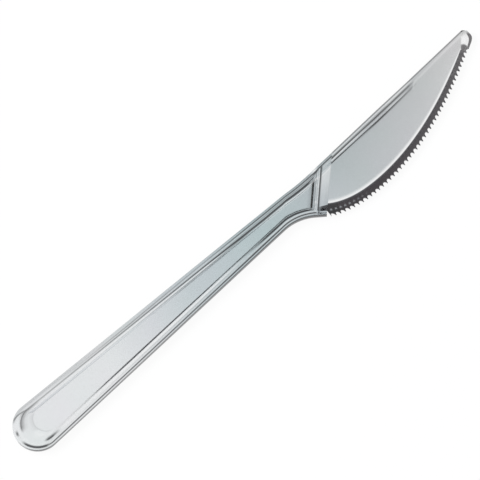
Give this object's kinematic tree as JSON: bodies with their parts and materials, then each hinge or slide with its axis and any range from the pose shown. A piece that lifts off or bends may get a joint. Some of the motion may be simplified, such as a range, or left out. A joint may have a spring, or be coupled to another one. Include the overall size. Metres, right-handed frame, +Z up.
{
  "type": "disposable plastic knife",
  "caption": "One-piece moulded table knife with a rimmed, sunk-panel handle, a slanted bolster, a spine rib and a toothed, bevelled cutting edge.",
  "frame": {"origin": "under the middle of the knife's box, on the surface that it lies on", "axes": "+X from the butt of the handle to the tip, +Y from the cutting edge to the spine, +Z up out of the upper face"},
  "size_m": [0.19, 0.022, 0.0032],
  "materials": {
    "clear_polystyrene": "glossy, clear and colourless, faintly grey where it is thick"
  },
  "bodies": {
    "root": {"knife": "clear_polystyrene"}
  },
  "joints": []
}
